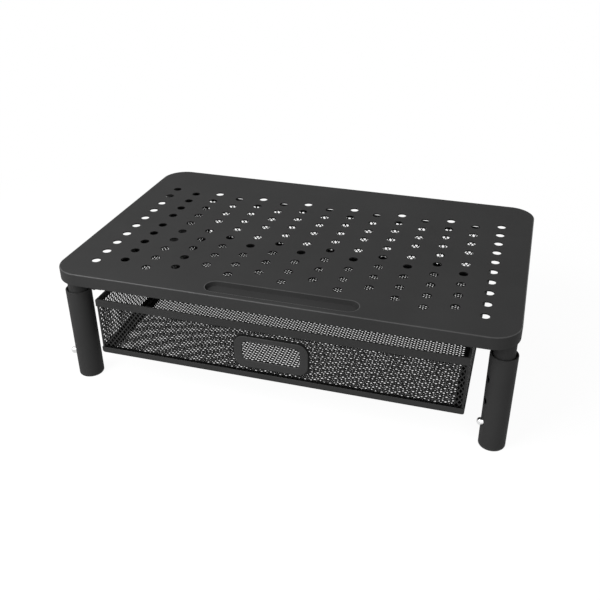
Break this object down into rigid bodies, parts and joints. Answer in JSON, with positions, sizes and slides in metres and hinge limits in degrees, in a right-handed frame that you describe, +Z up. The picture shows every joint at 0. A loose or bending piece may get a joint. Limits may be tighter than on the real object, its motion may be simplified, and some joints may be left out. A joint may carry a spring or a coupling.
{
  "type": "monitor stand",
  "caption": "Perforated steel monitor stand on height-adjustable tube legs, with a pull-out mesh drawer on runners under the top.",
  "frame": {"origin": "on the floor, below the middle of the top", "axes": "+X to the right as seen from the front, +Y to the back, +Z up"},
  "size_m": [0.3747, 0.2385, 0.11],
  "materials": {
    "powder_coat": "matte dark grey powder coat",
    "pull_plastic": "matte",
    "foot_plastic": "matte",
    "bush_plastic": "matte black",
    "button_steel": "plain bright steel",
    "spring_steel": "plain spring steel"
  },
  "bodies": {
    "stand": {"top_panel": "powder_coat", "runner_hanger_left": "powder_coat", "runner_hanger_right": "powder_coat", "runner_channel_left": "powder_coat", "runner_channel_right": "powder_coat", "neck_front_left": "powder_coat", "neck_front_right": "powder_coat", "neck_rear_left": "powder_coat", "neck_rear_right": "powder_coat", "snap_spring_front_left": "spring_steel", "snap_spring_front_right": "spring_steel", "snap_spring_rear_left": "spring_steel", "snap_spring_rear_right": "spring_steel"},
    "drawer": {"drawer_rim": "powder_coat", "drawer_base": "powder_coat", "drawer_net_front": "powder_coat", "drawer_net_back": "powder_coat", "drawer_net_left": "powder_coat", "drawer_net_right": "powder_coat", "drawer_net_floor": "powder_coat", "finger_pull": "pull_plastic", "drawer_slide_left": "powder_coat", "drawer_slide_right": "powder_coat"},
    "leg_front_left": {"leg_sleeve_front_left": "powder_coat", "guide_bush_front_left": "bush_plastic", "foot_cap_front_left": "foot_plastic"},
    "button_front_left": {"snap_button_front_left": "button_steel"},
    "leg_front_right": {"leg_sleeve_front_right": "powder_coat", "guide_bush_front_right": "bush_plastic", "foot_cap_front_right": "foot_plastic"},
    "button_front_right": {"snap_button_front_right": "button_steel"},
    "leg_rear_left": {"leg_sleeve_rear_left": "powder_coat", "guide_bush_rear_left": "bush_plastic", "foot_cap_rear_left": "foot_plastic"},
    "button_rear_left": {"snap_button_rear_left": "button_steel"},
    "leg_rear_right": {"leg_sleeve_rear_right": "powder_coat", "guide_bush_rear_right": "bush_plastic", "foot_cap_rear_right": "foot_plastic"},
    "button_rear_right": {"snap_button_rear_right": "button_steel"}
  },
  "joints": [
    {"name": "drawer_slide", "type": "slide", "parent": "stand", "child": "drawer", "axis": [0, -1, 0], "range_m": [0, 0.16]},
    {"name": "leg_height_front_left", "type": "slide", "parent": "stand", "child": "leg_front_left", "axis": [0, 0, -1], "range_m": [0, 0.04], "deforming": ["snap_button_front_left"]},
    {"name": "leg_height_front_right", "type": "slide", "parent": "stand", "child": "leg_front_right", "axis": [0, 0, -1], "range_m": [0, 0.04], "deforming": ["snap_button_front_right"]},
    {"name": "leg_height_rear_left", "type": "slide", "parent": "stand", "child": "leg_rear_left", "axis": [0, 0, -1], "range_m": [0, 0.04], "deforming": ["snap_button_rear_left"]},
    {"name": "leg_height_rear_right", "type": "slide", "parent": "stand", "child": "leg_rear_right", "axis": [0, 0, -1], "range_m": [0, 0.04], "deforming": ["snap_button_rear_right"]},
    {"name": "button_press_front_left", "type": "slide", "parent": "stand", "child": "button_front_left", "axis": [0.9205, 0.3907, 0], "range_m": [0, 0.0056], "stiffness_N_per_m": 600, "springref_m": -0.002, "deforming": ["snap_spring_front_left"]},
    {"name": "button_press_front_right", "type": "slide", "parent": "stand", "child": "button_front_right", "axis": [0.9205, 0.3907, 0], "range_m": [0, 0.0056], "stiffness_N_per_m": 600, "springref_m": -0.002, "deforming": ["snap_spring_front_right"]},
    {"name": "button_press_rear_left", "type": "slide", "parent": "stand", "child": "button_rear_left", "axis": [0.9205, 0.3907, 0], "range_m": [0, 0.0056], "stiffness_N_per_m": 600, "springref_m": -0.002, "deforming": ["snap_spring_rear_left"]},
    {"name": "button_press_rear_right", "type": "slide", "parent": "stand", "child": "button_rear_right", "axis": [0.9205, 0.3907, 0], "range_m": [0, 0.0056], "stiffness_N_per_m": 600, "springref_m": -0.002, "deforming": ["snap_spring_rear_right"]}
  ]
}
